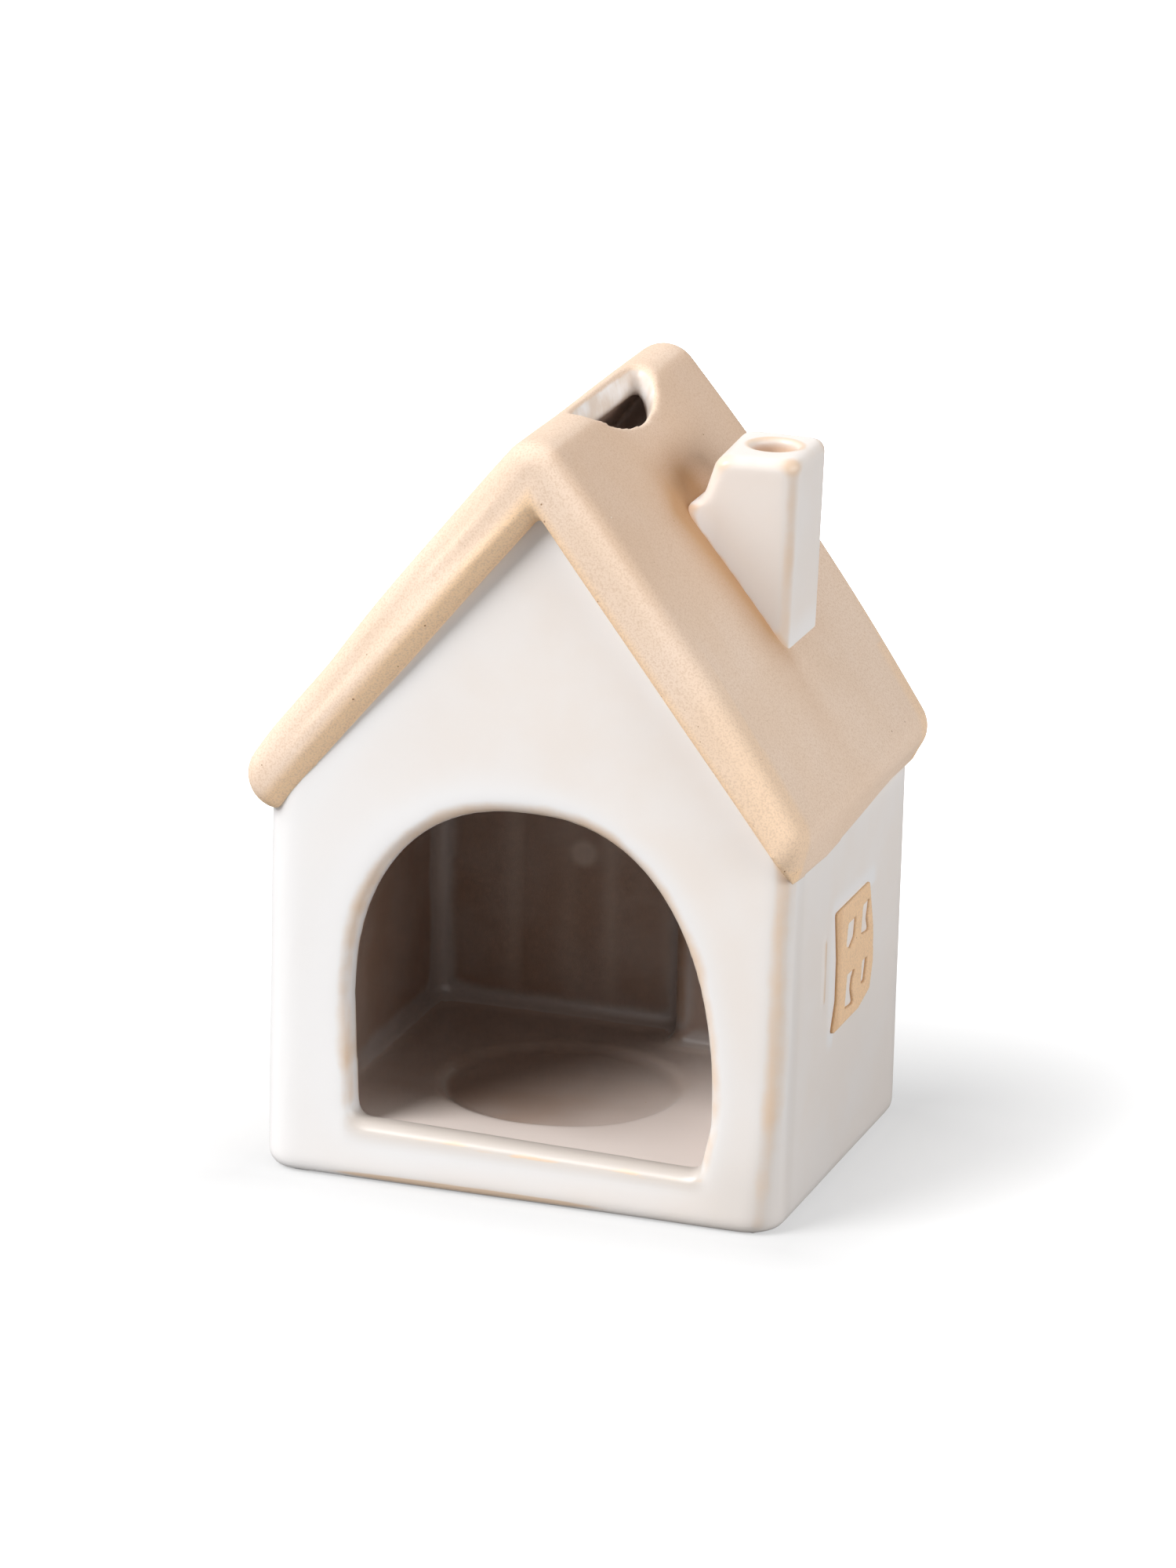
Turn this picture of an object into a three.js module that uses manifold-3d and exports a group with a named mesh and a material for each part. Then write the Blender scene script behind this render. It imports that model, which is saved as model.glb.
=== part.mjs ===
// House tea light holder in stoneware, built up from clay slabs and fired in one.
// Millimetres, +Z up, front towards -Y, origin on the table under the middle of the house.
import * as THREE from 'three';
import { mergeVertices } from 'three/addons/utils/BufferGeometryUtils.js';
import Module from 'manifold-3d';

const wasm = await Module();
wasm.setup();

// Walls and floor
const wallWidth = 86;
const wallDepth = 68.4;
const eaveHeight = 58.4;
const wallFlare = 0.7;
const wallLean = 1.9;
const frontThickness = 5;
const backThickness = 3.2;
const sideThickness = 6.6;
const floorThickness = 8.7;
const footRadius = 5.5;
const soleCornerRadius = 0.5;

// Place for the tea light, sunk in the floor a little left of the middle
const teaLightDiameter = 38;
const teaLightClearance = 1;
const recessDepth = 1.5;
const recessOffset = -3.7;

// Arched doorway, an uneven arch cut by hand
const sillLeftRise = 1.3;
const sillRightRise = 0.2;
const archTop = 63.5;
const archCrownX = 0.4;
const archLeftReach = 29.1;
const archRightReach = 31;
const archLeftSpring = 30;
const archRightSpring = 17;
const archRoundness = 2.3;
const jambTuck = 1.2;
const sillCornerRadius = 2;
const archFrontRound = 2.2;
const archBackRound = 1.2;

// Roof
const roofPitch = THREE.MathUtils.degToRad(51.8);
const roofCrown = 10.2;
const roofRound = 5.6;
const roofSwell = 1.1;
const roofShell = 4.6;
const vergeOverhang = 3.6;
const vergeFlare = 1.5;
const eaveOverhang = 1.8;
const eaveNoseRise = 6.5;
const vergeTopRound = 3.8;
const vergeUnderRound = 2.4;

// Smoke vent, cut along the ridge and down the right slope
const ventLeft = 1.5;
const ventRight = 6.8;
const ventLength = 31.2;
const ventOffset = 2;
const ventTaper = 1.2;

// Chimney on the right slope
const chimneyDrop = 7.2;
const chimneyWidth = 12.6;
const chimneyDepth = 15.4;
const chimneyX = 27;
const chimneyY = 6.2;
const chimneyBatter = 0.32;
const chimneyLean = 0.03;
const chimneyTurn = THREE.MathUtils.degToRad(7);
const chimneyTipX = 16.3;
const chimneyToeHeight = 2.6;
const chimneyCornerRadius = 2.6;
const chimneyFootRadius = 1;
const chimneyTopRound = 2;
const flueDiameter = 7.2;
const flueMouthRound = 1.1;

// Window in low relief on the right wall
const windowSide = 20.6;
const windowY = 3.3;
const windowSill = 25.5;
const windowRelief = 0.9;
const windowBar = 3.2;
const paneSide = 4.4;
const windowCornerRadius = 1.2;

// Clay pressed into the inside corners, and the pier beside the back wall
const coilRadius = 2.8;
const coilTop = 60;
const pierLeft = 7;
const pierDepth = 7.2;

// Slip joint left where a slanted face beds on its neighbour
const seatGap = 0.3;

// Curve resolution
const arcSteps = 8;
const roundSteps = 4;
const circleSteps = 48;

const halfWidth = wallWidth / 2;
const halfDepth = wallDepth / 2;
const cornerRadius = footRadius + soleCornerRadius;
const eaveX = halfWidth + wallFlare;
const roomX = halfWidth - sideThickness;
const roomFront = halfDepth - frontThickness;
const roomBack = halfDepth - backThickness;
const gableApex = eaveHeight + eaveX * Math.tan(roofPitch);
const ridgeHeight = gableApex + roofCrown;
const chimneyTop = ridgeHeight - chimneyDrop;
const verticalGap = seatGap / Math.cos(roofPitch);
const roofHalfDepth = halfDepth - wallLean + vergeOverhang;
const recessRadius = (teaLightDiameter + 2 * teaLightClearance) / 2;

// The roof's section runs round the crest and the eave's nose, with a straight tangent between them.
const crest = new THREE.Vector2(0, ridgeHeight - roofRound);
const nose = new THREE.Vector2(eaveX + eaveOverhang - roofRound, eaveHeight + eaveNoseRise);
const slopeRun = nose.clone().sub(crest).normalize();
const slopeOut = new THREE.Vector2(-slopeRun.y, slopeRun.x);
const slopeAngle = slopeOut.angle();
const bedAngle = -Math.PI / 2 - roofPitch;

const glaze = new THREE.MeshStandardMaterial({ color: 0xf1ece6, roughness: 0.28, metalness: 0 });
const bareClay = new THREE.MeshStandardMaterial({ color: 0xdcbd9b, roughness: 0.85, metalness: 0 });
const innerGlaze = new THREE.MeshStandardMaterial({ color: 0xd9cfc6, roughness: 0.35, metalness: 0 });

const house = new THREE.Group();

// Solids

function signedVolume(positions, triangles) {
  let sum = 0;
  const [a, b, c] = [new THREE.Vector3(), new THREE.Vector3(), new THREE.Vector3()];
  for (let i = 0; i < triangles.length; i += 3) {
    a.fromArray(positions, 3 * triangles[i]);
    b.fromArray(positions, 3 * triangles[i + 1]);
    c.fromArray(positions, 3 * triangles[i + 2]);
    sum += a.dot(b.cross(c)) / 6;
  }
  return sum;
}

// A closed geometry as a solid that can be cut and joined, with its faces turned outwards.
function solid(geometry) {
  const bare = geometry.clone();
  bare.deleteAttribute('normal');
  bare.deleteAttribute('uv');
  const merged = mergeVertices(bare, 1e-4);
  const positions = new Float32Array(merged.attributes.position.array);
  const triangles = [];
  const index = merged.index.array;
  for (let i = 0; i < index.length; i += 3) {
    const [a, b, c] = [index[i], index[i + 1], index[i + 2]];
    if (a !== b && b !== c && c !== a) triangles.push(a, b, c);
  }
  if (signedVolume(positions, triangles) < 0) triangles.reverse();
  const mesh = new wasm.Mesh({ numProp: 3, vertProperties: positions, triVerts: new Uint32Array(triangles) });
  return new wasm.Manifold(mesh);
}

function geometryOf(body) {
  const mesh = body.getMesh();
  const geometry = new THREE.BufferGeometry();
  geometry.setAttribute('position', new THREE.BufferAttribute(mesh.vertProperties.slice(), mesh.numProp));
  geometry.setIndex(new THREE.BufferAttribute(mesh.triVerts.slice(), 1));
  return geometry;
}

function box(x0, x1, y0, y1, z0, z1) {
  const geometry = new THREE.BoxGeometry(x1 - x0, y1 - y0, z1 - z0);
  geometry.translate((x0 + x1) / 2, (y0 + y1) / 2, (z0 + z1) / 2);
  return solid(geometry);
}

// Rings of equal count joined into one closed skin; place puts a ring's point at its station.
function loft(rings, place) {
  const clockwise = THREE.ShapeUtils.isClockWise(rings[0].points);
  const outlines = rings.map((ring) => (clockwise ? ring.points.slice().reverse() : ring.points));
  const count = outlines[0].length;
  const positions = [];
  outlines.forEach((points, r) => {
    for (const point of points) positions.push(...place(point, rings[r].station).toArray());
  });
  const index = [];
  for (let r = 0; r + 1 < rings.length; r++) {
    for (let i = 0; i < count; i++) {
      const [a, b] = [r * count + i, r * count + (i + 1) % count];
      index.push(a, a + count, b, b, a + count, b + count);
    }
  }
  const last = (rings.length - 1) * count;
  for (const [a, b, c] of THREE.ShapeUtils.triangulateShape(outlines[0], [])) index.push(a, b, c);
  for (const [a, b, c] of THREE.ShapeUtils.triangulateShape(outlines.at(-1), [])) {
    index.push(last + c, last + b, last + a);
  }
  const geometry = new THREE.BufferGeometry();
  geometry.setAttribute('position', new THREE.Float32BufferAttribute(positions, 3));
  geometry.setIndex(index);
  return solid(geometry);
}

const alongY = (point, y) => new THREE.Vector3(point.x, y, point.y);
const alongZ = (point, z) => new THREE.Vector3(point.x, point.y, z);

// An outline in X and Z, drawn out from y0 to y1.
function prismAlongY(points, y0, y1) {
  return loft([{ station: y0, points }, { station: y1, points }], alongY);
}

function prismAlongZ(points, z0, z1) {
  return loft([{ station: z0, points }, { station: z1, points }], alongZ);
}

function roundedRectangle(x0, x1, y0, y1, radius) {
  const points = [];
  const corners = [[x1, y0, -1, 1], [x1, y1, -1, -1], [x0, y1, 1, -1], [x0, y0, 1, 1]];
  corners.forEach(([x, y, inX, inY], quarter) => {
    for (let i = 0; i <= arcSteps / 2; i++) {
      const angle = (quarter - 1 + i / (arcSteps / 2)) * Math.PI / 2;
      const centre = new THREE.Vector2(x + inX * radius, y + inY * radius);
      points.push(centre.add(new THREE.Vector2(Math.cos(angle), Math.sin(angle)).multiplyScalar(radius)));
    }
  });
  return points;
}

// Outline of the walls at height z, drawn in by inset: they widen a little towards the eaves.
function wallPlan(z, inset) {
  const reachX = halfWidth + wallFlare * z / eaveHeight - inset;
  const reachY = halfDepth - inset;
  return roundedRectangle(-reachX, reachX, -reachY, reachY, cornerRadius - inset);
}

// The gable walls lean in towards the ridge, and every wall, the floor and the coils follow them.
function leanIn(geometry) {
  const position = geometry.attributes.position;
  for (let i = 0; i < position.count; i++) {
    const lean = wallLean * position.getZ(i) / eaveHeight / halfDepth;
    position.setY(i, position.getY(i) * (1 - lean));
  }
  return geometry;
}

function addPiece(name, geometry, material) {
  const mesh = new THREE.Mesh(geometry, material);
  mesh.name = name;
  house.add(mesh);
}

function addLeaningPiece(name, body, material) {
  addPiece(name, leanIn(geometryOf(body)), material);
}

// Floor slab, rounded at its foot, with the round seat for the tea light

function addFloor() {
  const rings = [];
  for (let i = 0; i <= arcSteps; i++) {
    const angle = i / arcSteps * Math.PI / 2;
    const z = footRadius * (1 - Math.cos(angle));
    rings.push({ station: z, points: wallPlan(z, footRadius * (1 - Math.sin(angle))) });
  }
  rings.push({ station: floorThickness, points: wallPlan(floorThickness, 0) });
  const seat = floorThickness - recessDepth;
  const edgeRound = recessDepth / 2;
  const profile = [
    new THREE.Vector2(0, seat),
    new THREE.Vector2(recessRadius - edgeRound, seat),
    new THREE.Vector2(recessRadius, seat + edgeRound),
    new THREE.Vector2(recessRadius, floorThickness + 1),
    new THREE.Vector2(0, floorThickness + 1),
  ];
  const dish = new THREE.LatheGeometry(profile, circleSteps);
  dish.rotateX(Math.PI / 2);
  dish.translate(recessOffset, 0, 0);
  addLeaningPiece('floor_slab', loft(rings, alongZ).subtract(solid(dish)), innerGlaze);
}

// Walls: the side walls run through to the corners, and the gable walls stand between them

// Everything under the roof's bed, as one gable-ended prism.
function underRoof(inset) {
  const points = [
    new THREE.Vector2(-eaveX, 0),
    new THREE.Vector2(eaveX, 0),
    new THREE.Vector2(eaveX, eaveHeight - inset),
    new THREE.Vector2(0, gableApex - inset),
    new THREE.Vector2(-eaveX, eaveHeight - inset),
  ];
  return prismAlongY(points, -wallDepth, wallDepth);
}

// The doorway's outline, made wider all round by grow.
function archOutline(grow) {
  const points = [];
  const corner = sillCornerRadius + grow;
  const quarter = (side, reach, spring) => {
    const arc = [];
    for (let i = 0; i <= arcSteps; i++) {
      const angle = i / arcSteps * Math.PI / 2;
      const out = Math.pow(Math.cos(angle), 2 / archRoundness);
      const up = Math.pow(Math.sin(angle), 2 / archRoundness);
      const height = archTop + grow - spring;
      arc.push(new THREE.Vector2(archCrownX + side * (reach + grow) * out, spring + height * up));
    }
    return arc;
  };
  const jamb = (side, reach, sillRise) => {
    const foot = archCrownX + side * (reach + grow - jambTuck);
    const sill = floorThickness + sillRise - grow;
    const turn = [];
    for (let i = 0; i <= roundSteps; i++) {
      const angle = i / roundSteps * Math.PI / 2;
      const x = foot - side * corner * (1 - Math.sin(angle));
      turn.push(new THREE.Vector2(x, sill + corner * (1 - Math.cos(angle))));
    }
    return turn;
  };
  points.push(...jamb(1, archRightReach, sillRightRise), ...quarter(1, archRightReach, archRightSpring));
  points.push(...quarter(-1, archLeftReach, archLeftSpring).reverse().slice(1));
  points.push(...jamb(-1, archLeftReach, sillLeftRise).reverse());
  return points;
}

// The doorway's cutter flares at both faces of the wall, so its edges come out rounded.
function doorway() {
  const [front, back] = [-halfDepth, -roomFront];
  const rings = [{ station: front - 1, points: archOutline(archFrontRound) }];
  for (let i = 0; i <= roundSteps; i++) {
    const angle = i / roundSteps * Math.PI / 2;
    const grow = archFrontRound * (1 - Math.sin(angle));
    rings.push({ station: front + archFrontRound * (1 - Math.cos(angle)), points: archOutline(grow) });
  }
  for (let i = 0; i <= roundSteps; i++) {
    const angle = i / roundSteps * Math.PI / 2;
    const grow = archBackRound * (1 - Math.cos(angle));
    rings.push({ station: back - archBackRound * (1 - Math.sin(angle)), points: archOutline(grow) });
  }
  rings.push({ station: back + 1, points: archOutline(archBackRound) });
  return loft(rings, alongY);
}

function addWalls() {
  const bed = underRoof(verticalGap);
  const frontWall = box(-roomX, roomX, -halfDepth, -roomFront, floorThickness, gableApex).intersect(bed);
  const backWall = box(-roomX, roomX, roomBack, halfDepth, floorThickness, gableApex).intersect(bed);
  addLeaningPiece('front_wall', frontWall.subtract(doorway()), glaze);
  addLeaningPiece('back_wall', backWall, glaze);
  const rings = [floorThickness, gableApex].map((z) => ({ station: z, points: wallPlan(z, 0) }));
  const block = loft(rings, alongZ).intersect(bed);
  const leftSide = box(-wallWidth, -roomX, -wallDepth, wallDepth, 0, gableApex);
  const rightSide = box(roomX, wallWidth, -wallDepth, wallDepth, 0, gableApex);
  addLeaningPiece('left_wall', block.intersect(leftSide), glaze);
  addLeaningPiece('right_wall', block.intersect(rightSide), glaze);
}

// Roof: two swelling slopes with a rounded crest and blunt eaves, cut apart at the ridge

// Section of the whole roof, with its upper side drawn in by inset and its underside by lift. Over the
// walls it comes down to their top edge; a blunt section keeps the eave's round nose down to the bed.
function roofOutline(inset, lift, blunt) {
  const radius = roofRound - inset;
  const rise = lift / Math.cos(roofPitch);
  const bed = new THREE.Vector2(eaveX, eaveHeight + rise);
  const toBed = bed.clone().sub(nose);
  let underAngle = toBed.angle() - 2 * Math.PI + Math.acos(Math.min(1, radius / toBed.length()));
  if (blunt) {
    const depth = toBed.x * Math.cos(bedAngle) + toBed.y * Math.sin(bedAngle);
    underAngle = bedAngle + Math.acos(THREE.MathUtils.clamp(depth / radius, -1, 1));
    bed.set(Math.cos(underAngle), Math.sin(underAngle)).multiplyScalar(radius).add(nose);
  }
  const slopeFoot = nose.clone().addScaledVector(slopeOut, radius);
  const slopeHead = crest.clone().addScaledVector(slopeOut, radius);
  const swell = slopeFoot.clone().lerp(slopeHead, 0.5).addScaledVector(slopeOut, 2 * roofSwell);
  const noseArc = new THREE.EllipseCurve(nose.x, nose.y, radius, radius, underAngle, slopeAngle);
  const slope = new THREE.QuadraticBezierCurve(slopeFoot, swell, slopeHead);
  const crestArc = new THREE.EllipseCurve(crest.x, crest.y, radius, radius, slopeAngle, Math.PI / 2);
  const right = [
    bed,
    ...noseArc.getPoints(arcSteps),
    ...slope.getPoints(arcSteps).slice(1),
    ...crestArc.getPoints(arcSteps / 2).slice(1),
  ];
  const left = right.slice(0, -1).reverse().map((point) => new THREE.Vector2(-point.x, point.y));
  return [...right, ...left, new THREE.Vector2(0, gableApex + rise)];
}

// The room's ceiling follows the slopes and the crest at the thickness of the roof's shell.
function ceiling() {
  const radius = roofRound - roofShell;
  const foot = crest.y + (radius - roomX * slopeOut.x) / slopeOut.y;
  const top = new THREE.EllipseCurve(crest.x, crest.y, radius, radius, slopeAngle, Math.PI - slopeAngle);
  const points = [
    new THREE.Vector2(-roomX, eaveHeight),
    new THREE.Vector2(roomX, eaveHeight),
    new THREE.Vector2(roomX, foot),
    ...top.getPoints(arcSteps),
    new THREE.Vector2(-roomX, foot),
  ];
  const drawnIn = 1 - wallLean * gableApex / eaveHeight / halfDepth;
  return prismAlongY(points, -roomFront * drawnIn, roomBack * drawnIn);
}

// Height of the roof's outer face at x, without its swell.
function roofHeight(x) {
  const side = Math.abs(x);
  if (side < roofRound * slopeOut.x) return crest.y + Math.sqrt(roofRound ** 2 - side ** 2);
  return crest.y + (roofRound - side * slopeOut.x) / slopeOut.y;
}

// Outline of the vent, drawn in by inset: nearly straight on the left, and a half oval on the right.
function ventOutline(inset) {
  const points = [];
  for (let i = 0; i < circleSteps; i++) {
    const angle = (i + 0.5) / circleSteps * 2 * Math.PI;
    const [along, across] = [Math.sin(angle), Math.cos(angle)];
    const [reach, power] = across > 0 ? [ventRight, 1] : [ventLeft, 0.5];
    const x = Math.sign(across) * (reach - inset) * Math.abs(across) ** power;
    const y = Math.sign(along) * (ventLength / 2 - inset) * Math.abs(along) ** power;
    points.push(new THREE.Vector2(x, ventOffset + y));
  }
  return points;
}

// The vent's cutter follows the roof's outer face and draws in through the roof's shell.
function ventBore() {
  const rings = [[-roofRound, 0], [0, 0], [roofShell, ventTaper], [eaveHeight / 2, ventTaper]];
  const belowFace = (point, depth) => new THREE.Vector3(point.x, point.y, roofHeight(point.x) - depth);
  return loft(rings.map(([station, inset]) => ({ station, points: ventOutline(inset) })), belowFace);
}

// A round cutter through the chimney and the roof, wider at the mouth so that its rim comes out rounded.
function flueBore() {
  const radius = flueDiameter / 2;
  const profile = [new THREE.Vector2(0, eaveHeight), new THREE.Vector2(radius, eaveHeight)];
  for (let i = 0; i <= roundSteps; i++) {
    const angle = i / roundSteps * Math.PI / 2;
    const out = flueMouthRound * (1 - Math.cos(angle));
    profile.push(new THREE.Vector2(radius + out, chimneyTop - flueMouthRound * (1 - Math.sin(angle))));
  }
  const above = chimneyTop + flueMouthRound;
  profile.push(new THREE.Vector2(radius + flueMouthRound, above), new THREE.Vector2(0, above));
  const bore = new THREE.LatheGeometry(profile, circleSteps / 2);
  bore.rotateX(Math.PI / 2);
  bore.translate(chimneyX, chimneyY, 0);
  return solid(bore);
}

const vent = ventBore();
const flue = flueBore();

function addRoof() {
  const rings = [];
  for (let i = 0; i <= roundSteps; i++) {
    const angle = i / roundSteps * Math.PI / 2;
    const away = 1 - Math.sin(angle);
    const points = roofOutline(vergeTopRound * away, vergeUnderRound * away, true);
    rings.push({ station: -roofHalfDepth + vergeTopRound * (1 - Math.cos(angle)), points });
  }
  rings.push({ station: wallLean + cornerRadius - halfDepth, points: roofOutline(0, 0, false) });
  for (const ring of rings.slice().reverse()) rings.push({ station: -ring.station, points: ring.points });
  // The verges stand out further at the eaves than at the ridge.
  const flared = (point, y) => {
    const fall = (ridgeHeight - point.y) / (ridgeHeight - eaveHeight);
    return new THREE.Vector3(point.x, y * (1 + vergeFlare * fall / roofHalfDepth), point.y);
  };
  const roof = loft(rings, flared).subtract(ceiling()).subtract(vent).subtract(flue);
  const reach = 2 * wallWidth;
  addPiece('roof_left', geometryOf(roof.intersect(box(-reach, 0, -reach, reach, 0, reach))), bareClay);
  addPiece('roof_right', geometryOf(roof.intersect(box(0, reach, -reach, reach, 0, reach))), bareClay);
}

// Chimney: a battered stack scribed to the roof's swelling slope, with the flue through both

function addChimney() {
  const foot = eaveHeight + eaveNoseRise;
  const tip = roofHeight(chimneyTipX) + roofSwell / slopeOut.y;
  const battered = (z) => chimneyX - chimneyWidth / 2 - chimneyBatter * (chimneyTop - z);
  const toe = battered(tip) - chimneyTipX;
  // Outline of the stack at height z. Its left side runs out in a toe of clay where it meets the slope, and
  // its front face is turned a little to the left.
  const stack = (inset, z) => {
    const drop = chimneyTop - z;
    const flare = THREE.MathUtils.clamp((tip + chimneyToeHeight - z) / chimneyToeHeight, 0, 1);
    const left = battered(z) - toe * flare ** 2;
    const right = chimneyX + chimneyWidth / 2 - chimneyLean * drop;
    const sharpen = Math.min(1, drop / (chimneyTop - foot));
    const radius = THREE.MathUtils.lerp(chimneyCornerRadius, chimneyFootRadius, sharpen) - inset;
    const [low, high] = [chimneyY - chimneyDepth / 2 + inset, chimneyY + chimneyDepth / 2 - inset];
    return roundedRectangle(left + inset, right - inset, low, high, radius).map((point) => {
      const front = point.y < chimneyY ? Math.tan(chimneyTurn) * (right - point.x) : 0;
      return new THREE.Vector2(point.x, point.y - front);
    });
  };
  const rings = [{ station: foot, points: stack(0, foot) }];
  for (let i = 0; i <= roundSteps; i++) {
    const z = tip + chimneyToeHeight * i / roundSteps;
    rings.push({ station: z, points: stack(0, z) });
  }
  for (let i = 0; i <= roundSteps; i++) {
    const angle = i / roundSteps * Math.PI / 2;
    const z = chimneyTop - chimneyTopRound * (1 - Math.sin(angle));
    rings.push({ station: z, points: stack(chimneyTopRound * (1 - Math.cos(angle)), z) });
  }
  const slope = prismAlongY(roofOutline(-seatGap, 0, false).slice(0, -1), -wallDepth, wallDepth);
  addPiece('chimney', geometryOf(loft(rings, alongZ).subtract(slope).subtract(flue)), glaze);
}

// Window: a square frame with four panes, stuck on the right wall

function addWindow() {
  const frame = roundedRectangle(-windowSide / 2, windowSide / 2, 0, windowSide, windowCornerRadius);
  const shape = new THREE.Shape(frame);
  const [low, high] = [windowSide / 2 - windowBar / 2 - paneSide, windowSide / 2 + windowBar / 2];
  for (const paneY of [low - windowSide / 2, high - windowSide / 2]) {
    for (const paneZ of [low, high]) {
      const pane = roundedRectangle(paneY, paneY + paneSide, paneZ, paneZ + paneSide, paneSide / 6);
      shape.holes.push(new THREE.Path(pane));
    }
  }
  const frameGeometry = new THREE.ExtrudeGeometry(shape, { depth: windowRelief, bevelEnabled: false });
  const along = new THREE.Vector3(0, 1, 0);
  const up = new THREE.Vector3(wallFlare / eaveHeight, 0, 1).normalize();
  const out = along.clone().cross(up);
  const wallX = halfWidth + wallFlare * windowSill / eaveHeight;
  const foot = new THREE.Vector3(wallX, windowY, windowSill).addScaledVector(out, seatGap);
  frameGeometry.applyMatrix4(new THREE.Matrix4().makeBasis(along, up, out).setPosition(foot));
  addPiece('window_frame', geometryOf(solid(frameGeometry)), bareClay);
}

// Inside: the pier, and the coils of clay that seal the corners

// A coil's section: a hollow fillet in the corner at (x, z), reaching towards sideX and sideZ.
function fillet(x, z, sideX, sideZ) {
  const points = [new THREE.Vector2(x, z)];
  for (let i = 0; i <= roundSteps; i++) {
    const angle = i / roundSteps * Math.PI / 2;
    const outX = coilRadius * (1 - Math.sin(angle));
    const outZ = coilRadius * (1 - Math.cos(angle));
    points.push(new THREE.Vector2(x + sideX * outX, z + sideZ * outZ));
  }
  return points;
}

function addInside() {
  const back = roomBack - seatGap;
  const pierFront = back - pierDepth;
  const coilEnd = coilRadius + seatGap;
  const lay = (name, points, y0, y1) => addLeaningPiece(name, prismAlongY(points, y0, y1), innerGlaze);
  const across = (name, x0, x1, y) => {
    const section = fillet(y, floorThickness, -1, 1);
    const body = loft([{ station: x0, points: section }, { station: x1, points: section }],
      (point, x) => new THREE.Vector3(x, point.x, point.y));
    addLeaningPiece(name, body, innerGlaze);
  };
  const stand = (name, x, y, sideX) => {
    addLeaningPiece(name, prismAlongZ(fillet(x, y, sideX, -1), floorThickness, coilTop), innerGlaze);
  };
  addLeaningPiece('inner_pier', box(pierLeft, roomX, pierFront, back, floorThickness, coilTop), innerGlaze);
  lay('floor_coil_left', fillet(-roomX, floorThickness, 1, 1), seatGap - roomFront, back - coilEnd);
  lay('floor_coil_right', fillet(roomX, floorThickness, -1, 1), seatGap - roomFront, pierFront - coilEnd);
  across('floor_coil_back', coilEnd - roomX, pierLeft - coilEnd, back);
  across('floor_coil_pier', pierLeft, roomX - coilEnd, pierFront);
  stand('corner_coil_left', -roomX, back, 1);
  stand('corner_coil_pier', pierLeft, back, -1);
}

addFloor();
addWalls();
addRoof();
addChimney();
addWindow();
addInside();

export default house;
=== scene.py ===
import math

import bmesh
import bpy
import numpy as np
from mathutils import Matrix, Vector, noise


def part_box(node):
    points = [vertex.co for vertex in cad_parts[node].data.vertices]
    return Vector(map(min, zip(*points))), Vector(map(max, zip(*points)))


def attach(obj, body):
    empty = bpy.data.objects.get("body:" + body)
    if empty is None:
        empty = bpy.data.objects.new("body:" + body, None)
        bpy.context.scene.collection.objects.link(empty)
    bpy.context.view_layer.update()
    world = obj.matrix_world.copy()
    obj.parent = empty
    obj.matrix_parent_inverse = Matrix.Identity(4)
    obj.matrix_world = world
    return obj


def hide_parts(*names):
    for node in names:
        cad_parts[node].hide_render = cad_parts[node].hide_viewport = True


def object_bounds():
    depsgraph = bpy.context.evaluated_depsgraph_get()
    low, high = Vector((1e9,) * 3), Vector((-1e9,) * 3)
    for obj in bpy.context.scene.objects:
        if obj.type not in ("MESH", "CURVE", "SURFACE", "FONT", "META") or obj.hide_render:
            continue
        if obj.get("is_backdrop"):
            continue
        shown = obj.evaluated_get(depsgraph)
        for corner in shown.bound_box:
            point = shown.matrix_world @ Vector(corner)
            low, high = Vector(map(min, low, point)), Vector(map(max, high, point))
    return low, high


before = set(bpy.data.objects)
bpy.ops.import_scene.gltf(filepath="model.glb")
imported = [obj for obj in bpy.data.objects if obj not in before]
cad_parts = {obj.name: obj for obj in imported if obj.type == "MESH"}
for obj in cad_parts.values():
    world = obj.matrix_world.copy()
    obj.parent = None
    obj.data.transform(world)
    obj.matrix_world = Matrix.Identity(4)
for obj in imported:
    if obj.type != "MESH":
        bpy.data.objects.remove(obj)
cad_low, cad_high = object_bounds()
scene = bpy.context.scene
MM = 0.001


# The view
# A long lens, 1.4 m away, looks down on the house from the right of its doorway.

view_turn, view_rise, view_roll = (math.radians(angle) for angle in (18.30, 17.70, 1.44))
camera = bpy.data.objects.new("camera", bpy.data.cameras.new("camera"))
camera.location = Vector((417.4, -1264.2, 484.3)) * MM
facing = Matrix.Rotation(view_turn, 3, "Z") @ Matrix.Rotation(math.pi / 2 - view_rise, 3, "X")
camera.rotation_euler = (facing @ Matrix.Rotation(view_roll, 3, "Z")).to_euler()
camera.data.sensor_width = 36
camera.data.lens = 202.04
scene.collection.objects.link(camera)
scene.camera = camera


# The walls
# Slabs of stoneware luted into an open box and glazed as one, so no seam shows. The foot is
# rounded under, the gables lean in towards the ridge, and the arched doorway is cut by hand.

slab = [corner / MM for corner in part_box("floor_slab")]
floor_top = slab[1].z
half_width, half_depth = slab[1].x - 0.1, slab[1].y + 0.2
eave_height, gable_apex, wall_flare, wall_lean = 58.4, 113.9, 0.7, 1.9
foot_radius, corner_radius, near_corner_radius, crisp_above = 2.4, 6.0, 3.6, 14
room_x, room_front, room_back, pier_left, pier_front = 36.4, 29.2, 31.0, 7.0, 23.6


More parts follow.
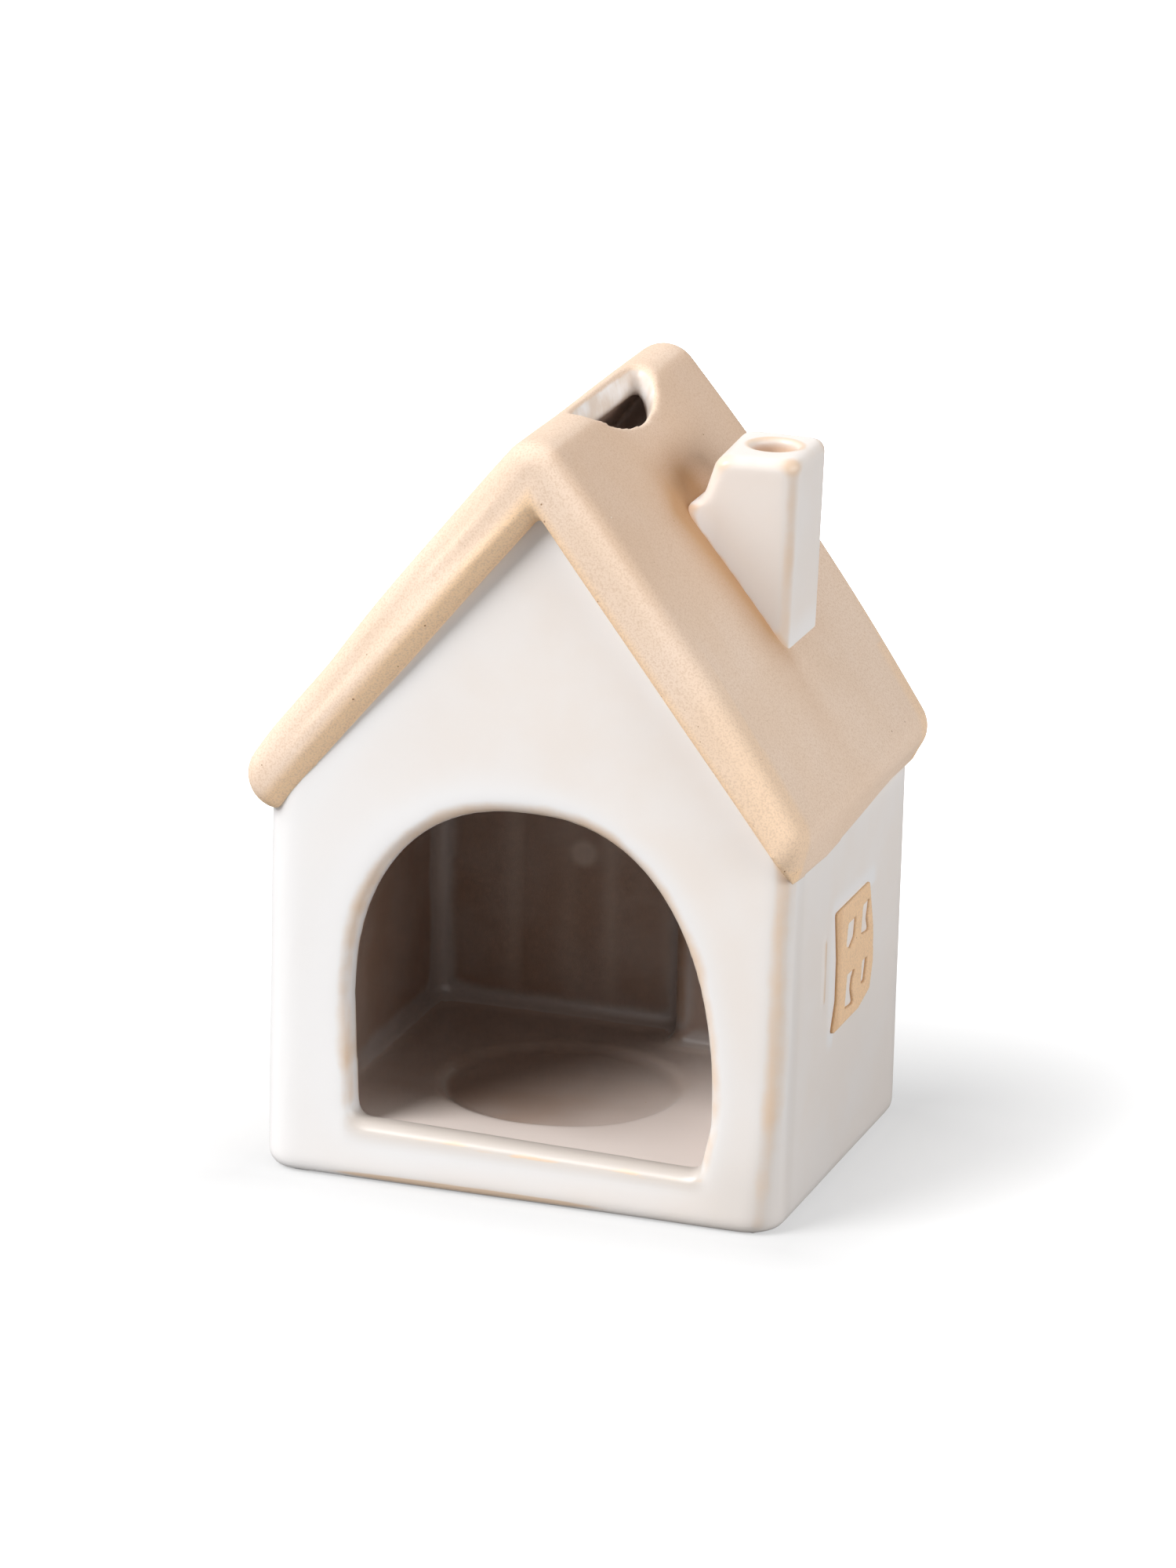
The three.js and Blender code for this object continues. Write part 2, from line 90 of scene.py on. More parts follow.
def loft(name, rings):
    """A closed solid through rings of points, given in millimetres, with as many in each."""
    form = bmesh.new()
    rows = [[form.verts.new(Vector(point) * MM) for point in ring] for ring in rings]
    for low, high in zip(rows, rows[1:]):
        for i, (a, b) in enumerate(zip(low, high)):
            j = (i + 1) % len(low)
            form.faces.new((a, low[j], high[j], b))
    form.faces.new(rows[0])
    form.faces.new(rows[-1])
    bmesh.ops.recalc_face_normals(form, faces=form.faces)
    mesh = bpy.data.meshes.new(name)
    form.to_mesh(mesh)
    form.free()
    solid = bpy.data.objects.new(name, mesh)
    scene.collection.objects.link(solid)
    return solid


def quarter(steps):
    """The angles of a quarter turn in equal steps."""
    return [i / steps * math.pi / 2 for i in range(steps + 1)]


def rounded(corners, radii, steps=8):
    """The corners of an outline, each turned into an arc. One radius serves all, or each has its own."""
    if not isinstance(radii, list):
        radii = [radii] * len(corners)
    points = []
    ring = zip(corners[-1:] + corners[:-1], corners, corners[1:] + corners[:1], radii)
    for before, corner, after, radius in ring:
        corner = Vector(corner)
        to_before = (Vector(before) - corner).normalized()
        to_after = (Vector(after) - corner).normalized()
        half = to_before.angle(to_after) / 2
        centre = corner + (to_before + to_after).normalized() * (radius / math.sin(half))
        start = corner + to_before * (radius / math.tan(half)) - centre
        end = corner + to_after * (radius / math.tan(half)) - centre
        for i in range(steps + 1):
            points.append(centre + start.slerp(end, i / steps) * radius)
    return points


def settle(solid):
    """Turns a solid and its modifiers into one plain mesh."""
    depsgraph = bpy.context.evaluated_depsgraph_get()
    mesh = bpy.data.meshes.new_from_object(solid.evaluated_get(depsgraph))
    solid.modifiers.clear()
    solid.data = mesh


def work(solid, operation, *tools):
    """Cuts the tools from a solid, or keeps what it has in common with them."""
    for tool in tools:
        modifier = solid.modifiers.new("work", "BOOLEAN")
        modifier.operation = operation
        modifier.object = tool
    settle(solid)
    for tool in tools:
        bpy.data.objects.remove(tool)


def soften(solid, grain, rounds):
    """Clay's even skin: an all-over mesh of one grain, with its edges worn soft."""
    remesh = solid.modifiers.new("skin", "REMESH")
    remesh.mode = "VOXEL"
    remesh.voxel_size = grain * MM
    remesh.use_smooth_shade = True
    smooth = solid.modifiers.new("wear", "SMOOTH")
    smooth.factor = 0.5
    smooth.iterations = rounds
    settle(solid)


def points_of(mesh):
    points = np.empty(len(mesh.vertices) * 3)
    mesh.vertices.foreach_get("co", points)
    return points.reshape(-1, 3) / MM


def put_points(mesh, points):
    mesh.vertices.foreach_set("co", (points * MM).ravel())
    mesh.update()


def normals_of(mesh):
    normals = np.empty(len(mesh.vertices) * 3)
    mesh.vertices.foreach_get("normal", normals)
    return normals.reshape(-1, 3)


def unevenness(points, scale, seed):
    """Slow noise between -1 and 1 over the surface, in waves of about scale millimetres."""
    shift = Vector((seed, 2.3 * seed, -1.7 * seed))
    return np.array([noise.noise(Vector(point) / scale + shift) for point in points])


def near(value, centre, width):
    """1 at centre, and next to nothing beyond twice the width from it."""
    return np.exp(-((value - centre) / width) ** 2)


def fade(value, start, end):
    """0 up to start, 1 from end on, and even between. start may be the larger."""
    return np.clip((value - start) / (end - start), 0, 1)


def outside(value, low, high):
    """How far a value lies outside a range."""
    return np.maximum(np.maximum(low - value, value - high), 0)


def spread(mesh, values, rounds):
    """Evens values out over the mesh's points, in rounds of averaging with their neighbours."""
    edges = np.empty(len(mesh.edges) * 2, np.int32)
    mesh.edges.foreach_get("vertices", edges)
    a, b = edges.reshape(-1, 2).T
    count = len(mesh.vertices)
    neighbours = np.maximum(np.bincount(a, minlength=count) + np.bincount(b, minlength=count), 1)
    columns = np.array(values.reshape(count, -1).T, float)
    for _ in range(rounds):
        for column in columns:
            total = np.bincount(a, column[b], count) + np.bincount(b, column[a], count)
            column += 0.5 * (total / neighbours - column)
    return columns.T.reshape(values.shape)


def store(mesh, name, values):
    mesh.attributes.new(name, "FLOAT", "POINT").data.foreach_set("value", values.astype(float))


def glaze_run(mesh, rounds, far, keep=1, worn=0, thick_and_lit=0):
    """Stores how far each point stands above its surroundings, where a glaze runs thin, and how near
    it is to such an edge, where the glaze that ran off lies deep and white. keep is the share of
    this that counts, and the last two add places where it is so for another reason: on the walls,
    the whiter places are partly painted light."""
    points = points_of(mesh)
    height = ((points - spread(mesh, points, rounds)) * normals_of(mesh)).sum(1) * keep
    store(mesh, "height", height + worn)
    store(mesh, "halo", spread(mesh, np.clip((height - 0.05) / 0.12, 0, 1), far) + thick_and_lit)


def lean(point):
    """The gables draw in towards the ridge as they rise."""
    x, y, z = point
    return x, y * (1 - wall_lean * z / eave_height / half_depth), z


def near_radius(z):
    """The front right corner is as round as the others at the foot and crisper above it."""
    return near_corner_radius + (corner_radius - near_corner_radius) * np.clip(1 - z / crisp_above, 0, 1)


def wall_ring(z, inset):
    x = half_width + wall_flare * z / eave_height - inset
    y = half_depth - inset
    corners = [(-x, -y), (x, -y), (x, y), (-x, y)]
    others = corner_radius - inset
    radii = [others, max(float(near_radius(z)) - inset, 0.5), others, others]
    return [lean((*point, z)) for point in rounded(corners, radii)]


def under_roof(name, lift):
    """All that lies under the roof's bed, raised by lift."""
    x, past, far = half_width + wall_flare, 9, 60
    section = [(-x - past, -past), (x + past, -past), (x + past, eave_height + lift),
               (x, eave_height + lift), (0, gable_apex + lift), (-x, eave_height + lift),
               (-x - past, eave_height + lift)]
    return loft(name, [[(px, y, pz) for px, pz in section] for y in (-far, far)])


def arch(grow):
    """The doorway's outline in X and Z, made wider all round by grow: two uneven quarter rounds."""
    crown_x, crown, roundness, tuck, corner = 0.4, 63.5, 2.3, 1.2, 2.0
    left, right = (29.1, 30.0, 1.3), (31.0, 17.0, 0.2)
    outline = []
    for side, (reach, spring, sill_rise) in ((1, right), (-1, left)):
        foot = crown_x + side * (reach + grow - tuck)
        sill = floor_top + sill_rise - grow
        radius = corner + grow
        half = [(foot - side * radius * (1 - math.sin(a)), sill + radius * (1 - math.cos(a)))
                for a in quarter(6)]
        for a in quarter(18):
            out, up = math.cos(a) ** (2 / roundness), math.sin(a) ** (2 / roundness)
            half.append((crown_x + side * (reach + grow) * out, spring + (crown + grow - spring) * up))
        outline += half if side > 0 else half[::-1][1:]
    return outline


def doorway():
    """The doorway's space. It widens at both faces of the wall, so that its edges come out round."""
    front, back, front_round, back_round, past = -half_depth, -room_front, 2.2, 1.0, 3
    rings = [(front - past, front_round)]
    for a in quarter(8):
        rings.append((front + front_round * (1 - math.cos(a)), front_round * (1 - math.sin(a))))
    for a in quarter(8):
        rings.append((back - back_round * (1 - math.sin(a)), back_round * (1 - math.cos(a))))
    rings.append((back + past, back_round))
    return loft("doorway", [[lean((x, y, z)) for x, z in arch(grow)] for y, grow in rings])


def room(name, floor, spare, cove, front):
    """The room's space up to above the roof, with its pier, and with coves along its floor. spare
    makes it wider all round, and front is how far it reaches forwards."""
    heights = [(floor + cove * (1 - math.cos(a)), cove * (1 - math.sin(a))) for a in quarter(8)]
    top, corner = 140, 2.6
    rings = []
    for z, inset in heights + [(top, 0)]:
        grow = spare - inset
        corners = [(-room_x - grow, -front), (room_x + grow, -front), (room_x + grow, pier_front + grow),
                   (pier_left + grow, pier_front + grow), (pier_left + grow, room_back + grow),
                   (-room_x - grow, room_back + grow)]
        rings.append([lean((*point, z)) for point in rounded(corners, corner, 6)])
    return loft(name, rings)


rings = [wall_ring(foot_radius * (1 - math.cos(a)), foot_radius * (1 - math.sin(a))) for a in quarter(12)]
rings += [wall_ring(z, 0) for z in (20, 40, eave_height, 90, 125)]
walls = loft("walls", rings)
work(walls, "INTERSECT", under_roof("bed", 1.6))
work(walls, "DIFFERENCE", room("hollow", floor_top - 2.4, 0.6, 0.5, room_front), doorway())
soften(walls, grain=0.7, rounds=6)
points = points_of(walls.data)
points += normals_of(walls.data) * (0.12 * unevenness(points, 22, 1))[:, None]
points[points[:, 2] < 0.12, 2] = 0
x, y, z = points.T
on_right, on_front = x > 41, y < -28

# A low ridge left of the window, where a tool has slipped.
ridge_line = near(y, -13.2, 0.7) * fade(np.abs(z - 37.7), 6.6, 4.6) * on_right
points[:, 0] += 0.25 * ridge_line
put_points(walls.data, points)

# Where the glaze is rubbed thin: the front right corner, that ridge, the foot, and a ragged line
# along the sill's lip.
corner_x = half_width + wall_flare * z / eave_height - 0.5 * near_radius(z)
corner_y = 0.13 * near_radius(z) - half_depth * (1 - wall_lean * z / eave_height / half_depth)
by_corner = near(np.hypot(x - corner_x, y - corner_y), 0, 1.5)
by_foot = near(z, 1.2, 0.5) * np.exp(-((x + 8) / 21) ** 4) * on_front
on_sill = (np.abs(x - 1) < 29.5) & (z > 6.6) & (z < 11.2) & on_front
lip_height = np.interp(x, [-25, -19, -7, 6, 25], [8.9, 8.6, 8.2, 7.7, 7.7])
lip_height += 0.2 * np.sin(x / 2.1) + 0.12 * np.sin(x / 0.9)
blotted = np.clip(0.6 + 0.8 * unevenness(points, 4, 5), 0.25, 1)
lip_line = blotted * near(z, lip_height, 0.3) * fade(x, -24, -12)
worn = 0.10 * by_corner + 0.15 * ridge_line + 0.5 * by_foot + on_sill * (0.36 * lip_line - 0.16)

# Where it lies deep and white: around the window's tile, most of all above it and before it. The
# whiter left of the front is partly deeper glaze and partly painted light from the left.
tile_away = np.hypot(outside(y, -8.2, 11), outside(z, 26, 46))
thick_and_lit = 0.6 * near(tile_away, 0, 2.6) * np.where((y < -7) | (z > 45), 1, 0.2) * on_right
# Painted light, in part: the front whitens towards the left.
thick_and_lit += 0.38 * fade(x, 16, -34) * fade(y, -24, -30)
glaze_run(walls.data, 14, 110, np.clip(z / 7, 0.15, 1), worn, thick_and_lit)

# Greyer: painted shade on the top of the sill and over the front's right side, and a coat of clay at the
# front's low right corner and along the rubbed corner.
film_and_shade = on_sill * fade(normals_of(walls.data)[:, 2], 0, 0.25) + 0.2 * fade(x, 14, 38) * (y < -26)
film_and_shade += 0.3 * near(x, 36, 5) * near(z, 6, 7) * on_front + 0.4 * by_corner
store(walls.data, "film_and_shade", spread(walls.data, film_and_shade, 3))
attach(walls, "root")
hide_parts("front_wall", "back_wall", "left_wall", "right_wall")


# The walls' glaze
# A warm white glaze over a tan clay. It runs thin over edges, where the clay shows through, and
# gathers whiter below them. Iron in the clay bleeds through as a few small brown specks.

def group(name, inputs, outputs):
    """A shader node group with the named number sockets, and its two end nodes."""
    made = bpy.data.node_groups.new(name, "ShaderNodeTree")
    for label, value in inputs.items():
        made.interface.new_socket(label, in_out="INPUT", socket_type="NodeSocketFloat").default_value = value
    for label in outputs:
        made.interface.new_socket(label, in_out="OUTPUT", socket_type="NodeSocketFloat")
    return made, made.nodes.new("NodeGroupInput"), made.nodes.new("NodeGroupOutput")


def node(tree, kind, inputs=(), **settings):
    """A node of the kind, with its settings, and inputs given as values or as sockets to link."""
    made = tree.nodes.new("ShaderNode" + kind)
    for name, value in settings.items():
        setattr(made, name, value)
    for key, value in dict(inputs).items():
        if isinstance(value, bpy.types.NodeSocket):
            tree.links.new(value, made.inputs[key])
        else:
            made.inputs[key].default_value = value
    return made


def specks_group():
    """Scattered round spots: few of the cells of a fine pattern hold one, each of its own size."""
    made, given, result = group("specks", {"Spacing": 3.0, "Size": 0.2, "Share": 0.3}, ["Mask"])
    place = node(made, "TexCoord").outputs["Object"]
    spacing = given.outputs["Spacing"]
    scale = node(made, "Math", {0: 1 / MM, 1: spacing}, operation="DIVIDE")
    cells = node(made, "TexVoronoi", {"Vector": place, "Scale": scale.outputs[0], "Randomness": 1.0})
    reach = node(made, "Math", {0: cells.outputs["Distance"], 1: spacing}, operation="MULTIPLY")
    shade = node(made, "SeparateColor", {"Color": cells.outputs["Color"]})
    size = node(made, "Math", {0: shade.outputs["Green"], 1: given.outputs["Size"]}, operation="MULTIPLY")
    inside = node(made, "Math", {0: size.outputs[0], 1: reach.outputs[0]}, operation="SUBTRACT")
    soft = node(made, "Math", {0: inside.outputs[0], 1: 12.0}, operation="MULTIPLY", use_clamp=True)
    chosen = node(made, "Math", {0: shade.outputs["Red"], 1: given.outputs["Share"]}, operation="LESS_THAN")
    both = node(made, "Math", {0: soft.outputs[0], 1: chosen.outputs[0]}, operation="MULTIPLY")
    made.links.new(both.outputs[0], result.inputs["Mask"])
    return made


specks = specks_group()


def add_specks(tree, spacing, size, share):
    """Specks about spacing millimetres apart and up to size in radius, in that share of the cells."""
    placed = node(tree, "Group", {}, node_tree=specks)
    for label, value in (("Spacing", spacing), ("Size", size), ("Share", share)):
        placed.inputs[label].default_value = value
    return placed.outputs["Mask"]


def mix(tree, share, first, second):
    """The first colour where share is 0 and the second where it is 1."""
    made = node(tree, "Mix", data_type="RGBA")
    for key, value in ((0, share), (6, first), (7, second)):
        if isinstance(value, bpy.types.NodeSocket):
            tree.links.new(value, made.inputs[key])
        elif key:
            made.inputs[key].default_value = (*value, 1)
        else:
            made.inputs[key].default_value = value
    return made.outputs[2]


def waves(tree, size, detail=3.0):
    """Noise between 0 and 1 in spots of about size millimetres."""
    place = node(tree, "TexCoord").outputs["Object"]
    return node(tree, "TexNoise", {"Vector": place, "Scale": 1000 / size, "Detail": detail}).outputs["Fac"]


def ramp(tree, value, low, high):
    """0 at low, 1 at high, smooth between."""
    limits = {"Value": value, "From Min": low, "From Max": high}
    return node(tree, "MapRange", limits, interpolation_type="SMOOTHSTEP").outputs["Result"]


def maths(tree, operation, first, second, third=0.0):
    return node(tree, "Math", {0: first, 1: second, 2: third}, operation=operation).outputs[0]


def material(name):
    made = bpy.data.materials.new(name)
    made.use_nodes = True
    return made, made.node_tree, made.node_tree.nodes["Principled BSDF"]


def measured(tree, name):
    """What store kept under this name, or 0 on a piece where it kept nothing."""
    return node(tree, "Attribute", attribute_name=name).outputs["Fac"]


def roughen(tree, shader, height, strength, distance):
    bump = node(tree, "Bump", {"Height": height, "Strength": strength, "Distance": distance * MM})
    tree.links.new(bump.outputs["Normal"], shader.inputs["Normal"])


def glaze_material(name, body, pooled, thin, floor, run):
    """The body's colour, whiter where the glaze lies deep, tan where it is thin, greyer under a coat
    of clay, and two colours that only the room has: its floor's and that of its back wall's runs.
    The whiter, greyer and floor colours also carry painted light and shade in places."""
    film_and_shade_grey, iron, bare = (0.63, 0.57, 0.52), (0.45, 0.30, 0.18), (0.78, 0.58, 0.44)
    made, tree, shader = material(name)
    ragged = maths(tree, "MULTIPLY", maths(tree, "SUBTRACT", waves(tree, 4), 0.5), 0.10)
    height = maths(tree, "ADD", measured(tree, "height"), ragged)
    mottled = ramp(tree, waves(tree, 16), 0.35, 0.65)
    colour = mix(tree, mottled, body, tuple(0.65 * a + 0.35 * b for a, b in zip(body, pooled)))
    colour = mix(tree, ramp(tree, measured(tree, "halo"), 0.08, 0.60), colour, pooled)
    colour = mix(tree, ramp(tree, height, -0.03, -0.18), colour, pooled)
    colour = mix(tree, measured(tree, "floor"), colour, floor)
    colour = mix(tree, maths(tree, "MAXIMUM", measured(tree, "runs"), 0), colour, run)
    # Greyer under a coat of clay, and where shade is painted.
    colour = mix(tree, measured(tree, "film_and_shade"), colour, film_and_shade_grey)
    colour = mix(tree, ramp(tree, height, 0.11, 0.30), colour, thin)
    colour = mix(tree, add_specks(tree, 5.0, 0.22, 0.18), colour, iron)
    colour = mix(tree, measured(tree, "bare"), colour, bare)
    tree.links.new(colour, shader.inputs["Base Color"])
    shader.inputs["Roughness"].default_value = 0.32
    roughen(tree, shader, waves(tree, 7), 0.15, 0.2)
    return made


warm_white, pooled_white = (0.85, 0.785, 0.735), (0.87, 0.855, 0.85)
white_glaze = glaze_material("white glaze", warm_white, pooled_white, (0.76, 0.58, 0.43), warm_white,
                             pooled_white)
walls.data.materials.append(white_glaze)


# The room
# The inside of the walls and the floor, with the round seat for the tea light, coves of clay
# pressed into the corners and a pier at the right of the back wall. Its glaze is thin and brown.

seat_x, seat_radius, seat_depth = -3.7, 20.0, 1.3
cove_radius, under_sill = 2.8, 2.6
blotch_x, blotch_z = -10.9, 37.4
# Each run of glaze down the back wall: its place, its width and how pale it is.
back_runs = [(-23, 1.8, 0.5), (-19.8, 1.0, -0.5), (-13.5, 2.2, 0.25), (-6.3, 1.5, 0.45), (-1.5, 1.2, -0.3),
             (3.5, 1.0, 0.3)]
corners = [(-room_x - 1, -room_front - under_sill), (room_x + 1, -room_front - under_sill),
           (room_x + 1, room_back + 1), (-room_x - 1, room_back + 1)]
lining = loft("room", [[lean((*point, z)) for point in rounded(corners, 1.5, 4)]
                       for z in (floor_top - 3.6, 130)])
work(lining, "INTERSECT", under_roof("bed", 0.5))
# The seat's space, from its middle out: radius and height over the floor.
profile = [(0.01, -seat_depth), (seat_radius - 1.6, -seat_depth), (seat_radius - 1.0, -0.8 * seat_depth),
           (seat_radius - 0.2, -0.3 * seat_depth), (seat_radius + 0.5, 0), (seat_radius + 0.5, 3), (0.01, 3)]
turns = [i / 72 * 2 * math.pi for i in range(72)]
seat = loft("seat", [[(seat_x + r * math.cos(a), r * math.sin(a), floor_top + z) for a in turns]
                     for r, z in profile])
work(lining, "DIFFERENCE", room("hollow", floor_top, 0, cove_radius, 50), seat)
soften(lining, grain=0.6, rounds=5)
points = points_of(lining.data)
points += normals_of(lining.data) * (0.15 * unevenness(points, 9, 2))[:, None]
put_points(lining.data, points)
x, y, z = points.T
flat = (z < floor_top + 0.8) & (normals_of(lining.data)[:, 2] > 0.6)
front_left = 0.7 * fade(y, 2, -12) * (x < -24)
glaze_run(lining.data, 26, 20, (1 - 0.9 * (flat & (z < floor_top + 0.5))) * (1 - front_left))

# The floor is pale towards the doorway and the right, and brown at the back and in the seat: partly
# a browner glaze and partly painted shade where the doorway lets no light in.
from_middle = np.hypot(x - seat_x, y)
from_rim = np.abs(from_middle - seat_radius + 0.6)
in_seat = from_middle < seat_radius - 1
# Partly painted shade: the back and left of the floor darken.
pale = 1 - 0.62 * fade(y, -25, -11) * fade(x, 24, 2)
# Painted shade: the seat's back rim is darkened where the lamps light it.
pale *= 1 - 0.45 * fade(from_rim, 1.8, 0.8) * fade(y, -4, 6)
# Painted shade: the seat's front left, in the doorway's shadow, is darkened.
pale *= 1 - 0.75 * in_seat * np.maximum(fade(y, 8, -6), 0.3) * np.maximum(fade(x, 14, -6), 0.4)
store(lining.data, "floor", spread(lining.data, flat * pale, 8))
# Painted shadow: a dark line just inside the seat's front edge.
store(lining.data, "film_and_shade", 0.55 * near(from_middle, seat_radius - 0.9, 0.5) * flat * (y < 2))
runs = np.zeros(len(x))
for run_x, width, strength in back_runs:
    runs += strength * near(x, run_x, width)
runs *= fade(y, room_back - 8, room_back - 4) * fade(z, floor_top, floor_top + 12)
from_blotch = np.hypot(x - blotch_x, z - blotch_z)
runs += 1.3 * near(from_blotch ** 2, 0, 4.5) * (y > room_back - 4)
store(lining.data, "runs", runs)
lining.data.materials.append(glaze_material(
    "inner glaze", (0.36, 0.245, 0.185), (0.45, 0.39, 0.365), (0.42, 0.29, 0.21), (0.88, 0.78, 0.72),
    (0.55, 0.45, 0.39)))
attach(lining, "root")
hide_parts("floor_slab", "inner_pier", "floor_coil_left", "floor_coil_right", "floor_coil_back",
            "floor_coil_pier", "corner_coil_left", "corner_coil_pier")


# The roof
# Two thick slabs joined over the ridge, left bare: a tan clay with iron specks and a fine grain.
# They swell a little, their verges stand out from the gables, and the smoke vent is cut through.

roof_pitch, roof_radius, roof_swell, roof_shell = math.radians(51.8), 5.6, 1.1, 4.6
verge_overhang, verge_flare, verge_top_round = 2.7, 1.5, 3.4
left_verge_back, left_eave_out = 2.8, 1.4
vent_left, vent_right, vent_half_length, vent_y, vent_taper = 1.5, 6.3, 15.6, 2.0, 1.2
roof_half_depth = half_depth - wall_lean + verge_overhang
ridge = cad_high.z / MM
crest = Vector((0, ridge - roof_radius))
nose = Vector((half_width + wall_flare + 1.8 - roof_radius, eave_height + 6.5))
slope_run = (nose - crest).normalized()
slope_out = Vector((-slope_run.y, slope_run.x))
slope_angle = math.atan2(slope_out.y, slope_out.x)
bed_angle = -math.pi / 2 - roof_pitch


def arc(centre, radius, start, end, steps):
    turn = [start + (end - start) * i / steps for i in range(steps + 1)]
    return [centre + Vector((math.cos(a), math.sin(a))) * radius for a in turn]


def slope_section(inset, lift, blunt):
    """The right half of roof_section, from the bed over the eave up to the crest."""
    radius = roof_radius - inset
    bed = Vector((half_width + wall_flare, eave_height + lift / math.cos(roof_pitch)))
    to_bed = bed - nose
    tangent = math.atan2(to_bed.y, to_bed.x) + math.acos(min(1, radius / to_bed.length))
    depth = to_bed.x * math.cos(bed_angle) + to_bed.y * math.sin(bed_angle)
    crossing = bed_angle + math.acos(max(-1, min(1, depth / radius)))
    bed = bed.lerp(nose + Vector((math.cos(crossing), math.sin(crossing))) * radius, blunt)
    tangent += (crossing - tangent) * blunt
    foot, head = nose + slope_out * radius, crest + slope_out * radius
    swell = (foot + head) / 2 + slope_out * 2 * roof_swell
    slope = [foot.lerp(swell, t).lerp(swell.lerp(head, t), t) for t in (i / 24 for i in range(25))]
    return [bed, *arc(nose, radius, tangent, slope_angle, 14), *slope[1:],
            *arc(crest, radius, slope_angle, math.pi / 2, 8)[1:]]


def roof_section(inset, left, right):
    """The roof's outline in X and Z, drawn in by inset above. Each side has its lift, how far it ends
    above the walls' top edge, and its bluntness: where that is 1, the eave is round down to the bed."""
    mirrored = [Vector((-point.x, point.y)) for point in slope_section(inset, *left)[-2::-1]]
    shift = (right[0] - left[0]) / (2 * math.sin(roof_pitch))
    apex = gable_apex + left[0] / math.cos(roof_pitch) + shift * math.tan(roof_pitch)
    return slope_section(inset, *right) + mirrored + [Vector((shift, apex))]


def flared(point, y):
    """The verges stand out further at the eaves than at the ridge. The front left one stands out
    least, and its eave comes round a little further."""
    fall = (ridge - point.y) / (ridge - eave_height)
    reach = verge_flare * fall
    x = point.x
    if y < 0:
        reach -= left_verge_back * fade(-x, 0, 14)
        x -= left_eave_out * fade(-x, 34, 42) * fade(-y, 20, 30)
    return x, y * (1 + reach / roof_half_depth), point.y


def roof_height(x):
    """The height of the roof's outside over the table, leaving out its swell."""
    side = abs(x)
    if side < roof_radius * slope_out.x:
        return crest.y + math.sqrt(roof_radius ** 2 - side ** 2)
    return crest.y + (roof_radius - side * slope_out.x) / slope_out.y


def vent_outline(inset):
    """Nearly straight along the left of the ridge, and half an oval down the right slope."""
    points = []
    for i in range(64):
        angle = (i + 0.5) / 64 * 2 * math.pi
        along, across = math.sin(angle), math.cos(angle)
        reach, power = (vent_right, 1) if across > 0 else (vent_left, 0.5)
        points.append((math.copysign((reach - inset) * abs(across) ** power, across),
                       vent_y + math.copysign((vent_half_length - inset) * abs(along) ** power, along)))
    return points


# The verges' faces round over from the top edge inwards. On the left of the front, the face also
# turns under and down over the wall, which fills the corner between them.
front, rear = [], []
for a in quarter(12):
    inset, depth = verge_top_round * (1 - math.sin(a)), 1 - math.cos(a)
    y = roof_half_depth - verge_top_round * depth
    filled = min(1, 2 * depth)
    front.append((-y, roof_section(inset, (0.8 - 2.8 * filled, 1), (1.0 - 1.2 * depth, 1 - depth))))
    rear.append((y, roof_section(inset, (1 - depth, 1 - 0.6 * depth), (1 - depth, 1 - 0.6 * depth))))
front.append((-29, roof_section(0, (-0.8, 0.6), (-0.2, 0))))
front.append((-20, roof_section(0, (0, 0), (0, 0))))
roof = loft("roof", [[flared(point, y) for point in section] for y, section in front + rear[::-1]])

under = arc(crest, roof_radius - roof_shell, slope_angle, math.pi - slope_angle, 8)
ceiling_eave = under[0].y + (room_x - under[0].x) * slope_run.y / slope_run.x
section = [(-room_x, eave_height - 4), (room_x, eave_height - 4), (room_x, ceiling_eave)]
section += [tuple(point) for point in under]
section += [(-room_x, ceiling_eave)]
draw_in = 1 - wall_lean * gable_apex / eave_height / half_depth
ceiling = loft("ceiling", [[(x, y, z) for x, z in section]
                           for y in (-room_front * draw_in, room_back * draw_in)])
vent_stations = [(-roof_radius, 0), (0, 0), (roof_shell, vent_taper), (eave_height / 2, vent_taper)]
vent = loft("vent", [[(x, y, roof_height(x) - depth) for x, y in vent_outline(inset)]
                     for depth, inset in vent_stations])
work(roof, "DIFFERENCE", ceiling, vent)
soften(roof, grain=0.52, rounds=6)

# The vent's edge is worn softer, the faces are a little uneven, and the eaves' undersides sag.
points = points_of(roof.data)
x, y, z = points.T
near_vent = fade(np.abs(x - 2.6), 9, 6) * fade(np.abs(y - vent_y), 21, 18) * (z > 105)
points += near_vent[:, None] * (spread(roof.data, points, 9) - points)
points += normals_of(roof.data) * (0.15 * unevenness(points, 26, 3))[:, None]
sag = np.interp(y, [-33, -25, -15, 0, 20, 33], [0, -0.8, -1.3, -0.7, 0.2, 0])
points[:, 2] += sag * fade(z, eave_height + 5, eave_height + 1) * (np.abs(x) > 40)
put_points(roof.data, points)

# How deep each point lies in the vent or under the ceiling, and which clay the fire has flashed.
roof_depth = np.array([roof_height(px) for px in x]) - z
over_room = (np.abs(x) < room_x + 1) & (y > -room_front - 1) & (y < room_back + 1)
store(roof.data, "depth", np.where(over_room, roof_depth, -1))
side = half_width + wall_flare - np.abs(x)
above_walls = (z - eave_height - np.maximum(side, 0) * math.tan(roof_pitch)) * math.cos(roof_pitch)
flash = np.maximum(fade(above_walls, 2.6, 1.0), 0.5 * fade(x, 24, 40))
store(roof.data, "flash", flash * fade(np.abs(y), 29, 31) * ~over_room)
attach(roof, "root")
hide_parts("roof_left", "roof_right")


